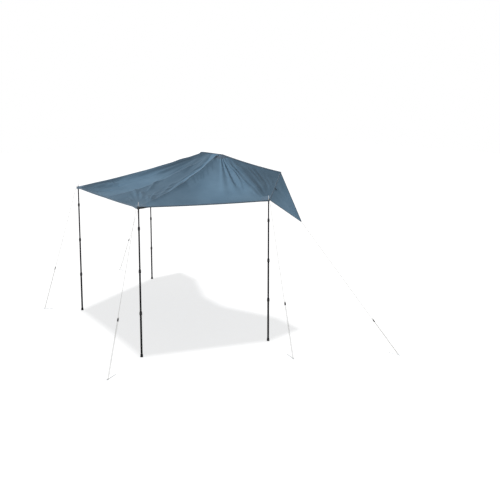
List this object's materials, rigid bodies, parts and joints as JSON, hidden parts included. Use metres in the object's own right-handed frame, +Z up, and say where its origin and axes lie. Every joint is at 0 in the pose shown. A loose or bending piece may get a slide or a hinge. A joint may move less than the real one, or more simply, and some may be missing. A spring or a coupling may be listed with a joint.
{
  "type": "vehicle side awning",
  "caption": "Side awning for a vehicle: sewn canopy with side flaps on telescopic poles with twist collars, held out by guy lines with sliders and ground pegs.",
  "frame": {"origin": "on the ground, under the middle of the awning without its guy lines", "axes": "+X to the vehicle's front, +Y towards the vehicle, +Z up"},
  "size_m": [5.9855, 3.4642, 2.62],
  "materials": {
    "canopy_cloth": "matte",
    "flap_cloth": "matte",
    "edge_webbing": "matte",
    "dark_tube": "satin",
    "grey_tube": "satin",
    "collar_plastic": "matte",
    "foot_rubber": "matte",
    "spike_steel": "satin",
    "line_cord": "matte",
    "slider_plastic": "matte",
    "peg_steel": "satin"
  },
  "bodies": {
    "root": {"roof_panel_front": "canopy_cloth", "side_panel_front": "canopy_cloth", "gusset_panel_front": "canopy_cloth", "flap_front": "flap_cloth", "roof_panel_rear": "canopy_cloth", "side_panel_rear": "canopy_cloth", "gusset_panel_rear": "canopy_cloth", "flap_rear": "flap_cloth", "tent_edge_webbing": "edge_webbing", "pole_outer_front_top_tube": "grey_tube", "pole_outer_front_spike": "spike_steel", "pole_outer_rear_top_tube": "grey_tube", "pole_outer_rear_spike": "spike_steel", "pole_inner_front_top_tube": "grey_tube", "pole_inner_front_spike": "spike_steel", "pole_inner_rear_top_tube": "grey_tube", "pole_inner_rear_spike": "spike_steel", "guy_line_outer_front": "line_cord", "line_slider_outer_front": "slider_plastic", "ground_peg_outer_front": "peg_steel", "guy_line_outer_rear": "line_cord", "line_slider_outer_rear": "slider_plastic", "ground_peg_outer_rear": "peg_steel", "guy_line_inner_front": "line_cord", "line_slider_inner_front": "slider_plastic", "ground_peg_inner_front": "peg_steel", "guy_line_inner_rear": "line_cord", "line_slider_inner_rear": "slider_plastic", "ground_peg_inner_rear": "peg_steel", "guy_line_flap_front": "line_cord", "line_slider_flap_front": "slider_plastic", "ground_peg_flap_front": "peg_steel"},
    "outer_front_upper": {"pole_outer_front_upper_tube": "grey_tube"},
    "outer_front_lower": {"pole_outer_front_lower_tube": "dark_tube"},
    "outer_front_bottom": {"pole_outer_front_bottom_tube": "dark_tube", "pole_outer_front_foot": "foot_rubber"},
    "outer_front_upper_collar": {"pole_outer_front_upper_collar": "collar_plastic"},
    "outer_front_lower_collar": {"pole_outer_front_lower_collar": "collar_plastic"},
    "outer_front_bottom_collar": {"pole_outer_front_bottom_collar": "collar_plastic"},
    "outer_rear_upper": {"pole_outer_rear_upper_tube": "grey_tube"},
    "outer_rear_lower": {"pole_outer_rear_lower_tube": "dark_tube"},
    "outer_rear_bottom": {"pole_outer_rear_bottom_tube": "dark_tube", "pole_outer_rear_foot": "foot_rubber"},
    "outer_rear_upper_collar": {"pole_outer_rear_upper_collar": "collar_plastic"},
    "outer_rear_lower_collar": {"pole_outer_rear_lower_collar": "collar_plastic"},
    "outer_rear_bottom_collar": {"pole_outer_rear_bottom_collar": "collar_plastic"},
    "inner_front_upper": {"pole_inner_front_upper_tube": "grey_tube"},
    "inner_front_lower": {"pole_inner_front_lower_tube": "dark_tube"},
    "inner_front_bottom": {"pole_inner_front_bottom_tube": "dark_tube", "pole_inner_front_foot": "foot_rubber"},
    "inner_front_upper_collar": {"pole_inner_front_upper_collar": "collar_plastic"},
    "inner_front_lower_collar": {"pole_inner_front_lower_collar": "collar_plastic"},
    "inner_front_bottom_collar": {"pole_inner_front_bottom_collar": "collar_plastic"},
    "inner_rear_upper": {"pole_inner_rear_upper_tube": "grey_tube"},
    "inner_rear_lower": {"pole_inner_rear_lower_tube": "dark_tube"},
    "inner_rear_bottom": {"pole_inner_rear_bottom_tube": "dark_tube", "pole_inner_rear_foot": "foot_rubber"},
    "inner_rear_upper_collar": {"pole_inner_rear_upper_collar": "collar_plastic"},
    "inner_rear_lower_collar": {"pole_inner_rear_lower_collar": "collar_plastic"},
    "inner_rear_bottom_collar": {"pole_inner_rear_bottom_collar": "collar_plastic"}
  },
  "joints": [
    {"name": "outer_front_upper_slide", "type": "slide", "parent": "root", "child": "outer_front_upper", "axis": [0, 0, 1], "range_m": [-0.3, 0.25]},
    {"name": "outer_front_lower_slide", "type": "slide", "parent": "outer_front_upper", "child": "outer_front_lower", "axis": [0, 0, 1], "range_m": [0, 0.53]},
    {"name": "outer_front_bottom_slide", "type": "slide", "parent": "outer_front_lower", "child": "outer_front_bottom", "axis": [0, 0, 1], "range_m": [0, 0.53]},
    {"name": "outer_front_upper_twist", "type": "hinge", "parent": "outer_front_upper", "child": "outer_front_upper_collar", "pos_m": [1.07, -1.1815, 1.81], "axis": [0, 0, 1], "range_deg": [0, 90]},
    {"name": "outer_front_lower_twist", "type": "hinge", "parent": "outer_front_lower", "child": "outer_front_lower_collar", "pos_m": [1.07, -1.1815, 1.22], "axis": [0, 0, 1], "range_deg": [0, 90]},
    {"name": "outer_front_bottom_twist", "type": "hinge", "parent": "outer_front_bottom", "child": "outer_front_bottom_collar", "pos_m": [1.07, -1.1815, 0.63], "axis": [0, 0, 1], "range_deg": [0, 90]},
    {"name": "outer_rear_upper_slide", "type": "slide", "parent": "root", "child": "outer_rear_upper", "axis": [0, 0, 1], "range_m": [-0.3, 0.25]},
    {"name": "outer_rear_lower_slide", "type": "slide", "parent": "outer_rear_upper", "child": "outer_rear_lower", "axis": [0, 0, 1], "range_m": [0, 0.53]},
    {"name": "outer_rear_bottom_slide", "type": "slide", "parent": "outer_rear_lower", "child": "outer_rear_bottom", "axis": [0, 0, 1], "range_m": [0, 0.53]},
    {"name": "outer_rear_upper_twist", "type": "hinge", "parent": "outer_rear_upper", "child": "outer_rear_upper_collar", "pos_m": [-1.07, -1.1815, 1.81], "axis": [0, 0, 1], "range_deg": [0, 90]},
    {"name": "outer_rear_lower_twist", "type": "hinge", "parent": "outer_rear_lower", "child": "outer_rear_lower_collar", "pos_m": [-1.07, -1.1815, 1.22], "axis": [0, 0, 1], "range_deg": [0, 90]},
    {"name": "outer_rear_bottom_twist", "type": "hinge", "parent": "outer_rear_bottom", "child": "outer_rear_bottom_collar", "pos_m": [-1.07, -1.1815, 0.63], "axis": [0, 0, 1], "range_deg": [0, 90]},
    {"name": "inner_front_upper_slide", "type": "slide", "parent": "root", "child": "inner_front_upper", "axis": [0, 0, 1], "range_m": [-0.3, 0.25]},
    {"name": "inner_front_lower_slide", "type": "slide", "parent": "inner_front_upper", "child": "inner_front_lower", "axis": [0, 0, 1], "range_m": [0, 0.53]},
    {"name": "inner_front_bottom_slide", "type": "slide", "parent": "inner_front_lower", "child": "inner_front_bottom", "axis": [0, 0, 1], "range_m": [0, 0.53]},
    {"name": "inner_front_upper_twist", "type": "hinge", "parent": "inner_front_upper", "child": "inner_front_upper_collar", "pos_m": [1.77, 0.5085, 1.81], "axis": [0, 0, 1], "range_deg": [0, 90]},
    {"name": "inner_front_lower_twist", "type": "hinge", "parent": "inner_front_lower", "child": "inner_front_lower_collar", "pos_m": [1.77, 0.5085, 1.22], "axis": [0, 0, 1], "range_deg": [0, 90]},
    {"name": "inner_front_bottom_twist", "type": "hinge", "parent": "inner_front_bottom", "child": "inner_front_bottom_collar", "pos_m": [1.77, 0.5085, 0.63], "axis": [0, 0, 1], "range_deg": [0, 90]},
    {"name": "inner_rear_upper_slide", "type": "slide", "parent": "root", "child": "inner_rear_upper", "axis": [0, 0, 1], "range_m": [-0.3, 0.25]},
    {"name": "inner_rear_lower_slide", "type": "slide", "parent": "inner_rear_upper", "child": "inner_rear_lower", "axis": [0, 0, 1], "range_m": [0, 0.53]},
    {"name": "inner_rear_bottom_slide", "type": "slide", "parent": "inner_rear_lower", "child": "inner_rear_bottom", "axis": [0, 0, 1], "range_m": [0, 0.53]},
    {"name": "inner_rear_upper_twist", "type": "hinge", "parent": "inner_rear_upper", "child": "inner_rear_upper_collar", "pos_m": [-1.77, 0.5085, 1.81], "axis": [0, 0, 1], "range_deg": [0, 90]},
    {"name": "inner_rear_lower_twist", "type": "hinge", "parent": "inner_rear_lower", "child": "inner_rear_lower_collar", "pos_m": [-1.77, 0.5085, 1.22], "axis": [0, 0, 1], "range_deg": [0, 90]},
    {"name": "inner_rear_bottom_twist", "type": "hinge", "parent": "inner_rear_bottom", "child": "inner_rear_bottom_collar", "pos_m": [-1.77, 0.5085, 0.63], "axis": [0, 0, 1], "range_deg": [0, 90]}
  ]
}
